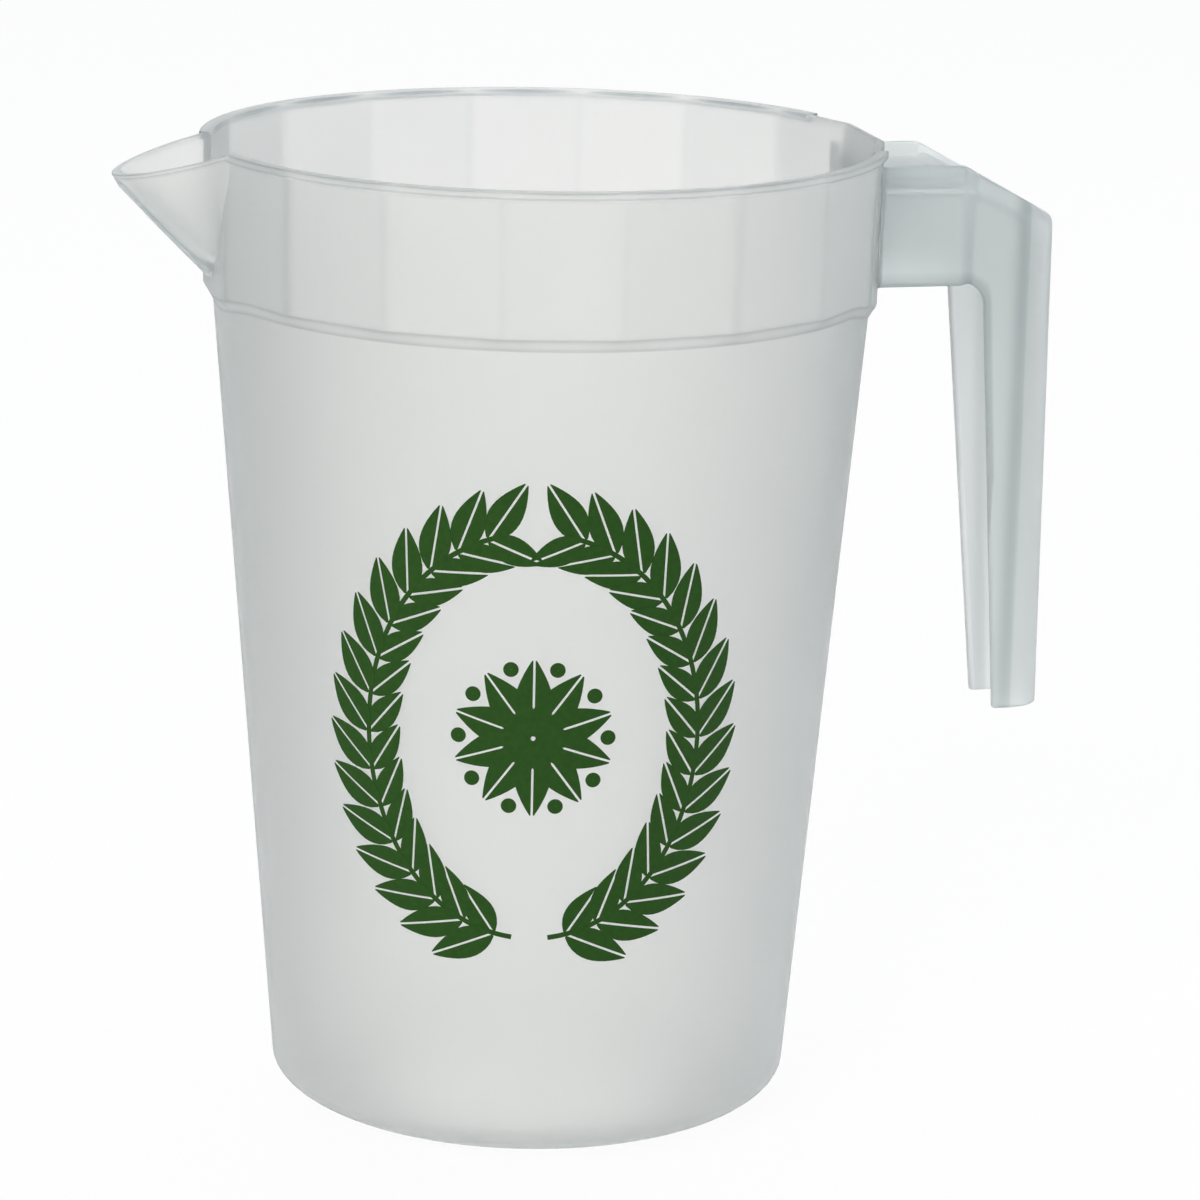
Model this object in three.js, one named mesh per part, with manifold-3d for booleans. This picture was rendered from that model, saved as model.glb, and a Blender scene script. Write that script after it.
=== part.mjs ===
// Stackable pitcher: a tapered round body, a sloped step, an 18-sided collar with a rim bead,
// a conical spout on -X and an open-bottomed channel handle on +X.
// The real pitcher is one moulding; here each functional region is a solid of its own.
// Millimetres, +Z up, origin at the centre of the base.
import * as THREE from 'three';
import { mergeVertices } from 'three/addons/utils/BufferGeometryUtils.js';
import Module from 'manifold-3d';

const wasm = await Module();
wasm.setup();

// Body
const rimTop = 197; // height of the rim above the table
const collarHeight = 28.3; // flat panels, from the step up to the rim's top
const stepHeight = 2.2; // sloped step under the collar
const bodyTopRadius = 65.2; // body wall, outside, under the step
const bodyFootRadius = 51.4; // where the body wall's slope would meet the table
const baseCornerReach = 20; // rounding between the wall and the base, along the base
const baseCornerHeight = 9; // the same rounding, up the wall
const wall = 1.8; // body and collar wall
const floorThickness = 2.4;

// Collar and rim
const panelCount = 18; // flat panels, one of them centred on the spout and one on the handle
const stepOverhang = 1.9; // panel corners stand out past the body wall, at the step
const collarFlare = 0.5; // how much the collar opens from the step to the rim
const beadOverhang = 0.4; // rim bead stands out past the panel corners
const rimHeight = 1.6; // bead, from its underside to the top
const wallTopDrop = 0.2; // bare wall at the handle, below the rim's top

// Spout
const spoutLength = 18; // rim bead to the tip
const spoutWidth = 29; // across the lip where it leaves the rim
const spoutTipDrop = 5.6; // tip below the rim's top
const spoutDepth = 27; // rim's top down to the foot of the keel
const spoutWall = 1.7;
const lipSideLength = 11; // how far the lip runs out before it rounds in
const lipSideFlare = 0.7; // how much that run opens
const lipNoseWidth = 14; // sideways pull of the lip's round nose
const keelRidgeWidth = 1.8;
const keelRidgeHeight = 0.6;

// Handle
const handleLength = 38.1; // rim bead to the back of the grip, at its lower end
const handleTopDrop = 4.6; // handle's top edge below the rim's top
const bridgeWidth = 33; // across the two side walls next to the collar
const bridgeLength = 14; // rim bead to the crease where the bridge turns down
const creaseLength = 5; // run over which the side walls draw in
const slopeDrop = 11.9; // fall of the handle's sloped back
const gripBackLean = 2.6; // how far the grip's back comes in on its way up to the sloped back
const gripFoot = 78.5; // height of the grip's open lower end
const gripTopWidth = 28.6; // grip at the handle's top
const gripFootWidth = 17; // grip at its lower end
const gripTopDepth = 15.9; // inner edge to back, under the bridge
const gripFootDepth = 11.3; // inner edge to back, at the lower end
const gripTopCorner = 5.5; // outside corner of the grip's back, at the handle's top
const gripFootCorner = 7.9; // the same at the lower end, almost half round
const fingerCorner = 5; // inside corner between the bridge and the grip
const backCorner = 3.5; // rounding at the foot of the sloped back
const topCorner = 1.2; // rounding at the head of the sloped back
const gripBackFlat = 1; // least flat left down the middle of the grip's back
const handleWall = 2;
const webRecess = 2.8; // bridge's web below its side walls' top edges
const rimGapWidth = 49; // rim bead left out over the handle

// Fit
const joinClearance = 0.3; // between regions that follow each other's curved or sloped walls
const cutMargin = 5; // how far cutting solids run past what they cut
const lipOverrun = 1.2; // the spout's hollow runs on past the lip by this factor
const weldDistance = 1e-5; // vertices closer than this become one

// Facets
const stepsPerPanel = 4; // round walls get this many flats per collar panel
const roundSteps = panelCount * stepsPerPanel;
const cornerSteps = 8; // points along a rounded corner
const lipSteps = 12; // points along each half of the spout's lip

// Radii and reaches from the axis, worked out from the driving dimensions
const collarFootRadius = bodyTopRadius + stepOverhang;
const collarTopRadius = collarFootRadius + collarFlare;
const rimRadius = collarTopRadius + beadOverhang;
const spoutReach = rimRadius + spoutLength;
const creaseReach = rimRadius + bridgeLength;
const handleReach = rimRadius + handleLength;

// Heights worked out from the driving dimensions
const collarFoot = rimTop - collarHeight;
const stepFoot = collarFoot - stepHeight;
const rimSeat = rimTop - rimHeight;
const wallTop = rimTop - wallTopDrop;
const handleTop = rimTop - handleTopDrop;
const panelAngle = (2 * Math.PI) / panelCount;

const naturalPolypropylene = new THREE.MeshStandardMaterial({
  color: 0xd5dbd8,
  roughness: 0.38,
  metalness: 0,
  transparent: true,
  opacity: 0.8,
});

// Solids for cutting and joining

function toSolid(geometry) {
  const plain = geometry.index ? geometry.toNonIndexed() : geometry.clone();
  plain.deleteAttribute('normal');
  plain.deleteAttribute('uv');
  const merged = mergeVertices(plain, weldDistance);
  return new wasm.Manifold(new wasm.Mesh({
    numProp: 3,
    vertProperties: new Float32Array(merged.attributes.position.array),
    triVerts: new Uint32Array(merged.index.array),
  }));
}

function toGeometry(solid) {
  const mesh = solid.getMesh();
  const geometry = new THREE.BufferGeometry();
  geometry.setAttribute('position', new THREE.BufferAttribute(new Float32Array(mesh.vertProperties), 3));
  geometry.setIndex(new THREE.BufferAttribute(new Uint32Array(mesh.triVerts), 1));
  geometry.computeVertexNormals();
  return geometry;
}

function block(fromCorner, toCorner) {
  const size = new THREE.Vector3().subVectors(toCorner, fromCorner);
  const centre = new THREE.Vector3().addVectors(fromCorner, toCorner).multiplyScalar(0.5);
  return toSolid(new THREE.BoxGeometry(size.x, size.y, size.z).translate(centre.x, centre.y, centre.z));
}

// A side outline in X and Z, extruded across Y and centred on the symmetry plane
function acrossPlate(outline, width) {
  const plate = new THREE.ExtrudeGeometry(outline, {
    depth: width,
    bevelEnabled: false,
    curveSegments: cornerSteps,
  });
  return toSolid(plate.rotateX(Math.PI / 2).translate(0, width / 2, 0));
}

// An outline through corners [x, y, rounding], each corner rounded off by a curve
function roundedOutline(corners) {
  const shape = new THREE.Shape();
  corners.forEach(([x, y, rounding], i) => {
    const here = new THREE.Vector2(x, y);
    const before = new THREE.Vector2(...corners.at(i - 1));
    const after = new THREE.Vector2(...corners[(i + 1) % corners.length]);
    const start = here.clone().add(before.sub(here).setLength(rounding));
    const end = here.clone().add(after.sub(here).setLength(rounding));
    if (i === 0) shape.moveTo(start.x, start.y);
    else shape.lineTo(start.x, start.y);
    if (rounding > 0) shape.quadraticCurveTo(here.x, here.y, end.x, end.y);
  });
  shape.closePath();
  return shape;
}

// Triangles that fill a loop of points, as seen from above
function planTriangles(points) {
  const outline = points.map((p) => new THREE.Vector2(p.x, p.y));
  return THREE.ShapeUtils.triangulateShape(outline, []);
}

// Closed loops of points, joined one to the next, with both ends capped flat
function loft(loops) {
  const count = loops[0].length;
  const points = loops.flat();
  const index = [];
  for (let ring = 0; ring + 1 < loops.length; ring += 1) {
    for (let i = 0; i < count; i += 1) {
      const next = (i + 1) % count;
      const low = ring * count;
      const high = low + count;
      index.push(low + i, low + next, high + next, low + i, high + next, high + i);
    }
  }
  const last = (loops.length - 1) * count;
  planTriangles(loops[0]).forEach(([a, b, c]) => index.push(a, c, b));
  planTriangles(loops.at(-1)).forEach(([a, b, c]) => index.push(last + a, last + b, last + c));
  return toSolid(new THREE.BufferGeometry().setFromPoints(points).setIndex(index));
}

// Turned and faceted walls

const round = (radius) => () => radius;

// A flat-panelled wall: the given radius is at the corners, midway between panel centres
const faceted = (cornerRadius) => (angle) => {
  const offCentre = angle - panelAngle * Math.round(angle / panelAngle);
  return (cornerRadius * Math.cos(panelAngle / 2)) / Math.cos(offCentre);
};

// A closed wall section [radius at angle, height], carried once round the axis
function ringWall(section) {
  const points = [];
  const index = [];
  const count = section.length;
  for (let step = 0; step < roundSteps; step += 1) {
    const angle = (step / roundSteps) * 2 * Math.PI;
    section.forEach(([radiusAt, height]) => {
      const radius = radiusAt(angle);
      points.push(new THREE.Vector3(radius * Math.cos(angle), radius * Math.sin(angle), height));
    });
    const here = step * count;
    const there = ((step + 1) % roundSteps) * count;
    for (let i = 0; i < count; i += 1) {
      const next = (i + 1) % count;
      index.push(here + i, there + i, there + next, here + i, there + next, here + next);
    }
  }
  return toSolid(new THREE.BufferGeometry().setFromPoints(points).setIndex(index));
}

// A full turned or faceted solid: stacked rings [radius at angle, height] from the bottom up
function stackedSolid(rings) {
  return loft(rings.map(([radiusAt, height]) => Array.from({ length: roundSteps }, (_, step) => {
    const angle = (step / roundSteps) * 2 * Math.PI;
    const radius = radiusAt(angle);
    return new THREE.Vector3(radius * Math.cos(angle), radius * Math.sin(angle), height);
  })));
}

function turned(profile) {
  const lathe = new THREE.LatheGeometry(profile, roundSteps);
  return toSolid(lathe.rotateX(Math.PI / 2));
}

// Base and body wall

const bodySlope = (bodyTopRadius - bodyFootRadius) / stepFoot; // outward run per millimetre of height
const bodyRadiusAt = (height) => bodyFootRadius + bodySlope * height;
const lean = Math.atan(bodySlope);
const innerBodyRadius = (height) => bodyRadiusAt(height) - wall / Math.cos(lean);

// Elliptical corner between the base at baseHeight and a sloped wall, from the base outwards
function baseCorner(reach, baseHeight, wallRadiusAt) {
  const cornerHeight = baseCornerHeight - baseHeight;
  return Array.from({ length: cornerSteps + 1 }, (_, i) => {
    const angle = ((i / cornerSteps) * Math.PI) / 2;
    const height = baseCornerHeight - cornerHeight * Math.cos(angle);
    return new THREE.Vector2(wallRadiusAt(height) - reach * (1 - Math.sin(angle)), height);
  });
}

const outerCorner = baseCorner(baseCornerReach, 0, bodyRadiusAt);
const innerCorner = baseCorner(baseCornerReach - wall, floorThickness, innerBodyRadius);

// The turned base and body together, before they part at the top of the floor
const baseAndBody = turned([
  new THREE.Vector2(0, 0),
  ...outerCorner,
  new THREE.Vector2(bodyTopRadius, stepFoot),
  new THREE.Vector2(innerBodyRadius(stepFoot), stepFoot),
  ...innerCorner.toReversed(),
  new THREE.Vector2(0, floorThickness),
]);
const belowFloorTop = block(
  new THREE.Vector3(-rimRadius, -rimRadius, -cutMargin),
  new THREE.Vector3(rimRadius, rimRadius, floorThickness),
);

const baseFloor = baseAndBody.intersect(belowFloorTop);
const bodyWall = baseAndBody.subtract(belowFloorTop);

// Stacking step: round at the body, faceted at the collar

const innerStepRadius = innerBodyRadius(stepFoot);
const stackingStep = ringWall([
  [round(bodyTopRadius), stepFoot],
  [faceted(collarFootRadius), collarFoot],
  [faceted(collarFootRadius - wall), collarFoot],
  [round(innerStepRadius), stepFoot],
]);

// Outside of the collar and step as one solid, for the pieces that butt against them
function collarEnvelope(gap) {
  return stackedSolid([
    [round(bodyTopRadius + gap), stepFoot - cutMargin],
    [round(bodyTopRadius + gap), stepFoot],
    [faceted(collarFootRadius + gap), collarFoot],
    [faceted(collarTopRadius + gap), rimTop + cutMargin],
  ]);
}

// Spout: a cone from the foot of the keel to a rounded lip that slopes down to the tip

const keelFoot = new THREE.Vector3(-collarFootRadius * Math.cos(panelAngle / 2), 0, rimTop - spoutDepth);
const lipRoot = keelFoot.x;
const lipSlope = spoutTipDrop / (spoutReach + lipRoot);
const lipHeightAt = (x) => rimTop - wallTopDrop + lipSlope * (x - lipRoot);

// One side of the lip in plan, from inside the pitcher round to the tip
function lipSide(inset) {
  const halfWidth = spoutWidth / 2 - inset;
  const tip = -spoutReach + inset;
  const side = new THREE.CubicBezierCurve(
    new THREE.Vector2(lipRoot, halfWidth),
    new THREE.Vector2(lipRoot - lipSideLength, halfWidth + lipSideFlare),
    new THREE.Vector2(tip, lipNoseWidth / 2),
    new THREE.Vector2(tip, 0),
  );
  return [new THREE.Vector2(lipRoot + 2 * cutMargin, halfWidth), ...side.getPoints(lipSteps)];
}

// The cone over the lip, run on past the lip by the given stretch
function spoutCone(inset, foot, stretch) {
  const side = lipSide(inset);
  const farSide = side.slice(0, -1).reverse().map((p) => new THREE.Vector2(p.x, -p.y));
  const lip = [...side, ...farSide].map((p) => new THREE.Vector3(p.x, p.y, lipHeightAt(p.x)));
  const rim = lip.map((p) => p.clone().sub(foot).multiplyScalar(stretch).add(foot));
  const points = [...rim, foot];
  const index = [];
  rim.forEach((_, i) => index.push(i, rim.length, (i + 1) % rim.length));
  planTriangles(rim).forEach(([a, b, c]) => index.push(a, b, c));
  return toSolid(new THREE.BufferGeometry().setFromPoints(points).setIndex(index));
}

const tip = new THREE.Vector3(-spoutReach, 0, lipHeightAt(-spoutReach));
const keelLine = new THREE.Vector3().subVectors(tip, keelFoot).normalize();
const keelAngle = Math.atan2(keelLine.z, -keelLine.x);
// Where the inside of the keel starts: one wall above the outside, measured square to the keel
const innerFoot = keelFoot.clone().add(new THREE.Vector3(0, 0, spoutWall / Math.cos(keelAngle)));
const spoutHollow = spoutCone(spoutWall, innerFoot, lipOverrun);

// A narrow ridge along the keel, standing proud of the cone
const ridgeOut = new THREE.Vector2(-Math.sin(keelAngle), -Math.cos(keelAngle));
ridgeOut.multiplyScalar(keelRidgeHeight);
const keelRidge = acrossPlate(new THREE.Shape([
  new THREE.Vector2(keelFoot.x, keelFoot.z + spoutWall),
  new THREE.Vector2(keelFoot.x + ridgeOut.x, keelFoot.z + ridgeOut.y),
  new THREE.Vector2(tip.x + ridgeOut.x, tip.z + ridgeOut.y),
  new THREE.Vector2(tip.x, tip.z),
]), keelRidgeWidth);

const pouringSpout = spoutCone(0, keelFoot, 1)
  .add(keelRidge)
  .subtract(spoutHollow)
  .subtract(collarEnvelope(joinClearance));

// Collar: flat panels, open at the spout, with a seat for the rim bead

const collarTube = ringWall([
  [faceted(collarFootRadius), collarFoot],
  [faceted(collarTopRadius), wallTop],
  [faceted(collarTopRadius - wall), wallTop],
  [faceted(collarFootRadius - wall), collarFoot],
]);

// The strip of rim left bare over the handle, and the strip that the spout's lip takes
function rimGap(width, direction) {
  const outer = direction * (rimRadius + cutMargin);
  return block(
    new THREE.Vector3(Math.min(0, outer), -width / 2, rimSeat - cutMargin),
    new THREE.Vector3(Math.max(0, outer), width / 2, rimTop + cutMargin),
  );
}

const aboveSeat = block(
  new THREE.Vector3(-rimRadius, -rimRadius, rimSeat),
  new THREE.Vector3(rimRadius, rimRadius, rimTop + cutMargin),
);
const beadSeat = aboveSeat
  .subtract(rimGap(rimGapWidth - 2 * joinClearance, 1))
  .subtract(rimGap(spoutWidth, -1));
const facetedCollar = collarTube.subtract(beadSeat).subtract(spoutHollow);

// Rim bead: round outside and on top, faceted where it sits on the collar

const beadRounding = rimHeight / 2;
const beadTopRadius = collarTopRadius - wall; // inner edge of the bead's top, at the panel corners
const beadArc = Array.from({ length: cornerSteps + 1 }, (_, i) => {
  const angle = -Math.PI / 2 + (i / cornerSteps) * Math.PI;
  const radius = rimRadius - beadRounding + beadRounding * Math.cos(angle);
  return [round(radius), rimSeat + beadRounding + beadRounding * Math.sin(angle)];
});
const wholeBead = ringWall([
  ...beadArc,
  [round(beadTopRadius), rimTop],
  [faceted(beadTopRadius), rimSeat],
]);
const cutBead = wholeBead
  .subtract(rimGap(rimGapWidth, 1))
  .subtract(rimGap(spoutWidth + 2 * joinClearance, -1));

function beadHalf(side) {
  const reach = side * (rimRadius + cutMargin);
  return cutBead.intersect(block(
    new THREE.Vector3(-rimRadius - cutMargin, Math.min(0, reach), rimSeat - cutMargin),
    new THREE.Vector3(rimRadius + cutMargin, Math.max(0, reach), rimTop + cutMargin),
  ));
}

// Handle: a channel that runs out from the collar, slopes down and becomes the grip

const slopeFoot = handleTop - slopeDrop;
const backAt = (height) => handleReach - gripBackLean * ((height - gripFoot) / (slopeFoot - gripFoot));
const slopeRun = backAt(slopeFoot) - creaseReach;
const slopeAngle = Math.atan2(slopeDrop, slopeRun);
const deepen = (gripTopDepth - gripFootDepth) / (collarFoot - gripFoot); // per millimetre of height
const innerEdge = (height) => backAt(height) - gripFootDepth - deepen * (height - gripFoot);

// The channel in plan at one level: bridge walls, crease, grip sides and rounded back
function handlePlan(level, width, corner, inset) {
  const halfBridge = bridgeWidth / 2 - inset;
  const halfGrip = width / 2 - inset;
  const back = backAt(level) - inset;
  const rounding = Math.min(Math.max(corner - inset, inset), halfGrip - gripBackFlat / 2);
  const half = [
    new THREE.Vector3(0, halfBridge, level),
    new THREE.Vector3(creaseReach, halfBridge, level),
    new THREE.Vector3(creaseReach + creaseLength, halfGrip, level),
  ];
  for (let i = 0; i <= cornerSteps; i += 1) {
    const angle = Math.PI / 2 - (i / cornerSteps) * (Math.PI / 2);
    half.push(new THREE.Vector3(
      back - rounding + rounding * Math.cos(angle),
      halfGrip - rounding + rounding * Math.sin(angle),
      level,
    ));
  }
  const mirrored = half.toReversed().map((p) => new THREE.Vector3(p.x, -p.y, p.z));
  return [...half, ...mirrored].reverse();
}

// Widths grow evenly with height; the cutting loft runs past both ends by the given margin
function handleLoft(inset, margin) {
  const rise = handleTop - gripFoot;
  const widen = ((gripTopWidth - gripFootWidth) / rise) * margin;
  const sharpen = ((gripTopCorner - gripFootCorner) / rise) * margin;
  return loft([
    handlePlan(gripFoot - margin, gripFootWidth - widen, gripFootCorner - sharpen, inset),
    handlePlan(handleTop + margin, gripTopWidth + widen, gripTopCorner + sharpen, inset),
  ]);
}

const handleSide = roundedOutline([
  [0, handleTop, 0],
  [creaseReach, handleTop, topCorner],
  [backAt(slopeFoot), slopeFoot, backCorner],
  [handleReach, gripFoot, 0],
  [innerEdge(gripFoot), gripFoot, 0],
  [innerEdge(collarFoot), collarFoot, fingerCorner],
  [0, collarFoot, 0],
]);

// Inside of the channel: below the web, below the sloped back, open towards the body and the table
const webUnder = handleTop - webRecess - handleWall;
const slopeUnderHead = handleTop - handleWall / Math.cos(slopeAngle);
const slopeUnderAt = (x) => slopeUnderHead - (x - creaseReach) * Math.tan(slopeAngle);
const webEnd = creaseReach + (slopeUnderHead - webUnder) / Math.tan(slopeAngle);
const pastBack = handleReach + cutMargin;
const channelSide = new THREE.Shape([
  new THREE.Vector2(0, webUnder),
  new THREE.Vector2(webEnd, webUnder),
  new THREE.Vector2(pastBack, slopeUnderAt(pastBack)),
  new THREE.Vector2(pastBack, gripFoot - cutMargin),
  new THREE.Vector2(0, gripFoot - cutMargin),
]);

const channel = handleLoft(handleWall, 2 * cutMargin).intersect(acrossPlate(channelSide, 2 * bridgeWidth));
const webPocket = block(
  new THREE.Vector3(0, handleWall - bridgeWidth / 2, handleTop - webRecess),
  new THREE.Vector3(creaseReach, bridgeWidth / 2 - handleWall, handleTop + cutMargin),
);
const wholeHandle = handleLoft(0, 0)
  .intersect(acrossPlate(handleSide, 2 * bridgeWidth))
  .subtract(channel)
  .subtract(webPocket)
  .subtract(collarEnvelope(joinClearance));

const bridgeSide = block(
  new THREE.Vector3(0, -bridgeWidth, gripFoot - cutMargin),
  new THREE.Vector3(creaseReach, bridgeWidth, handleTop + cutMargin),
);

// The pitcher

const pitcher = new THREE.Group();

function addRegion(name, solid) {
  const mesh = new THREE.Mesh(toGeometry(solid), naturalPolypropylene.clone());
  mesh.name = name;
  pitcher.add(mesh);
}

addRegion('base_floor', baseFloor);
addRegion('body_wall', bodyWall);
addRegion('stacking_step', stackingStep);
addRegion('faceted_collar', facetedCollar);
addRegion('rim_bead_front', beadHalf(-1));
addRegion('rim_bead_back', beadHalf(1));
addRegion('pouring_spout', pouringSpout);
addRegion('handle_bridge', wholeHandle.intersect(bridgeSide));
addRegion('handle_grip', wholeHandle.subtract(bridgeSide));

export default pitcher;
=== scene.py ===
# %% [markdown]
# # A stackable serving pitcher in translucent plastic
# The real pitcher is one injection moulding: a tapered round body, a step that lets pitchers
# nest, an 18-sided collar, a conical spout and a channel-shaped handle that hangs free.
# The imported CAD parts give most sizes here, and the meshes below replace them with the smooth,
# seamless skin that a moulding has. Lengths are worked in millimetres and turned into metres
# when a mesh is made.

# %% Load the frame
import math
from collections import namedtuple

import bmesh
import bpy
import numpy as np
from mathutils import Matrix, Vector


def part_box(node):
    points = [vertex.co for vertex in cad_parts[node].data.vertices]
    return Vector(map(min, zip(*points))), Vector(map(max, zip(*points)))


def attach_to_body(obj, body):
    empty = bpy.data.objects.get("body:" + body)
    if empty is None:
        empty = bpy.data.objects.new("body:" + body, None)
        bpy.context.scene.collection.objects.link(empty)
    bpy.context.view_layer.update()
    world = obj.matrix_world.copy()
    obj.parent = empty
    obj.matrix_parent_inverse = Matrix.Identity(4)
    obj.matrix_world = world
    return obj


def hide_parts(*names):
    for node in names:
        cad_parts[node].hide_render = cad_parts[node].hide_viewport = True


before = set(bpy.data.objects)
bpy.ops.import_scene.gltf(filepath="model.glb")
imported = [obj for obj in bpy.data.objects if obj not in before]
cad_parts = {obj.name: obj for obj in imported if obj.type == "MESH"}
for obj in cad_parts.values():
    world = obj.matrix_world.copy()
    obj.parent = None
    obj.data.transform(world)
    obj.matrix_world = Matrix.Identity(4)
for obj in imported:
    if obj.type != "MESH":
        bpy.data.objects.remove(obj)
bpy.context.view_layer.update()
scene = bpy.context.scene
scene.view_settings.view_transform = "Standard"
MM = 0.001

# %% [markdown]
# ## Camera
# The camera stands about a metre away with a long lens, a little above the rim, and the spout is
# turned towards it. Its place could be found by eye, but a long lens shows each millimetre, so the
# distance, height and angles come from matching the rim, step and base with the picture.

# %% Camera
PICTURE_PIXELS = 1200
focal_pixels = 5433
camera_distance = 1062.6
camera_height = 360.6
object_turn = math.radians(13.64)
camera_pan = math.radians(0.699)
camera_tilt = math.radians(13.613)
camera_roll = math.radians(-1.274)


def camera_placing():
    """World matrix of a camera that looks along its own -Z, in the pitcher's frame."""
    ahead = Vector((
        math.sin(camera_pan) * math.cos(camera_tilt),
        math.cos(camera_pan) * math.cos(camera_tilt),
        -math.sin(camera_tilt),
    ))
    level_right = Vector((math.cos(camera_pan), -math.sin(camera_pan), 0))
    level_down = ahead.cross(level_right)
    right = math.cos(camera_roll) * level_right + math.sin(camera_roll) * level_down
    up = math.sin(camera_roll) * level_right - math.cos(camera_roll) * level_down
    facing = Matrix((right, up, -ahead)).transposed().to_4x4()
    stand = Matrix.Translation(Vector((0, -camera_distance, camera_height)) * MM)
    return Matrix.Rotation(-object_turn, 4, "Z") @ stand @ facing


camera_data = bpy.data.cameras.new("product_camera")
camera_data.lens = camera_data.sensor_width * focal_pixels / PICTURE_PIXELS
camera = bpy.data.objects.new("product_camera", camera_data)
camera.matrix_world = camera_placing()
scene.collection.objects.link(camera)
scene.camera = camera
print("lens in mm:", round(camera_data.lens, 1))

# %% [markdown]
# ## Sizes
# Most sizes are read from the boxes of the CAD parts, so the skin follows the solids if they
# change. What a box can't tell, such as a wall or a rounding, is a named value.

# %% Sizes from the frame


def low(node, axis):
    """Lowest coordinate of a CAD part, in millimetres."""
    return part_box(node)[0]["xyz".index(axis)] / MM


def high(node, axis):
    """Highest coordinate of a CAD part, in millimetres."""
    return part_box(node)[1]["xyz".index(axis)] / MM


floor_top = high("base_floor", "z")
step_foot = high("body_wall", "z")
collar_foot = high("stacking_step", "z")
rim_seat = low("rim_bead_front", "z")
rim_top = high("rim_bead_front", "z")
bare_wall_top = high("faceted_collar", "z")
body_top_radius = high("body_wall", "y")
collar_foot_radius = high("stacking_step", "y")
collar_top_radius = high("faceted_collar", "y")
rim_radius = -low("rim_bead_front", "y")

wall = 1.8
body_foot_radius = 51.4
body_lean = math.atan((body_top_radius - body_foot_radius) / step_foot)
print("rim", rim_radius, "at", rim_top, "collar foot", collar_foot, "step foot", step_foot)

# %% [markdown]
# ## The collar's panels
# The collar is a band of 18 flat panels with softly rounded corners. A bevelled cylinder of 18
# sides would look like it, but the wall runs on without a seam into the round body and the round
# rim. So a formula gives the collar's radius at any angle.

# %% The collar's panels
panel_count = 18
panel_half_angle = math.pi / panel_count
panel_corner_rounding = 7


def from_panel_middle(angle):
    """Angle to the middle of the nearest panel; one panel's middle is under the spout."""
    pitch = 2 * panel_half_angle
    return np.abs(angle - pitch * np.round(angle / pitch))


def panel_radius(angle, corner_radius):
    """Radius at an angle from the spout of a band whose sharp corners would have a radius."""
    flat = corner_radius * math.cos(panel_half_angle)
    from_middle = from_panel_middle(angle)
    on_flat = flat / np.cos(from_middle)
    centre = (flat - panel_corner_rounding) / math.cos(panel_half_angle)
    to_corner = panel_half_angle - from_middle
    inside = panel_corner_rounding**2 - (centre * np.sin(to_corner)) ** 2
    on_corner = centre * np.cos(to_corner) + np.sqrt(np.maximum(inside, 0))
    flat_ends = (flat - panel_corner_rounding) * math.tan(panel_half_angle)
    return np.where(flat * np.tan(from_middle) < flat_ends, on_flat, on_corner)


def collar_corner(height):
    """Radius of the collar's corners, outside, at a height: the collar widens upwards."""
    up = (height - collar_foot) / (rim_seat - collar_foot)
    return collar_foot_radius + up * (collar_top_radius - collar_foot_radius)


panel_test = panel_radius(np.array([0, panel_half_angle]), collar_top_radius)
print("collar radius on a flat and on a corner:", panel_test.round(2))

# %% [markdown]
# ## Sections with rounded corners
# A mould leaves no sharp edges. A Bevel modifier would round a finished mesh by one amount, but
# here each edge has its own rounding, and some change with the angle. So a section is a list of
# corners, each rounded by a true arc, and NumPy draws it for every column of the mesh at once.
# Each point also carries a shade that is painted into the material. Moulded plastic bends light at
# its edges, and here that is painted: thin cool lines of painted shade (above 0) and light lines of
# painted light (below 0).

# %% Sections with rounded corners
longest_reach = 0.48

# points: one for each column; rounding: a radius, or a reach along each side; arc: steps round the
# corner; spans: steps to the next corner; shade: painted shade on the corner, painted light below
# 0;
# onward: painted shade on the way to the next.
Corner = namedtuple("Corner", "points rounding arc spans shade onward", defaults=(0, 0, 1, 0, 0))


def rounded_corner(before, corner, after, rounding, steps):
    """Points that round a corner, on a circle's arc or, for two reaches, on an ellipse's."""
    back = before - corner
    ahead = after - corner
    back_length = np.linalg.norm(back, axis=-1, keepdims=True)
    ahead_length = np.linalg.norm(ahead, axis=-1, keepdims=True)
    back = back / back_length
    ahead = ahead / ahead_length
    if isinstance(rounding, tuple):
        back_reach, ahead_reach = rounding
        weight = math.sqrt(0.5)
    else:
        half = 0.5 * np.arccos(np.clip((back * ahead).sum(-1, keepdims=True), -1, 1))
        limit = longest_reach * np.minimum(back_length, ahead_length)
        back_reach = ahead_reach = np.minimum(rounding / np.tan(half), limit)
        weight = np.sin(half)
    points = []
    for u in np.linspace(0, 1, steps + 1):
        first, middle, last = (1 - u) ** 2, 2 * u * (1 - u) * weight, u**2
        total = first + middle + last
        points.append(corner + (first * back_reach * back + last * ahead_reach * ahead) / total)
    return points


def section_rows(corners):
    """Rows (across, along, shade) of the section through these corners."""
    rows, shades = [corners[0].points], [corners[0].shade]
    for before, here, after in zip(corners, corners[1:], [*corners[2:], None]):
        if after is None:
            arc = [here.points]
        else:
            arc = rounded_corner(
                before.points, here.points, after.points, here.rounding, here.arc)
        start, spans = rows[-1], before.spans
        rows += [start + (arc[0] - start) * k / spans for k in range(1, spans)] + arc
        shades += [before.onward] * (spans - 1) + [here.shade] * len(arc)
    columns = len(rows[0])
    shades = np.array([np.broadcast_to(shade, columns) for shade in shades])
    return np.concatenate([np.array(rows), shades[..., None]], axis=-1)


arc_test = rounded_corner(*np.array([(0, 5), (0, 0), (5, 0)]), 1, 2)
print("middle of an arc of radius 1:", arc_test[1].round(3))
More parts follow.
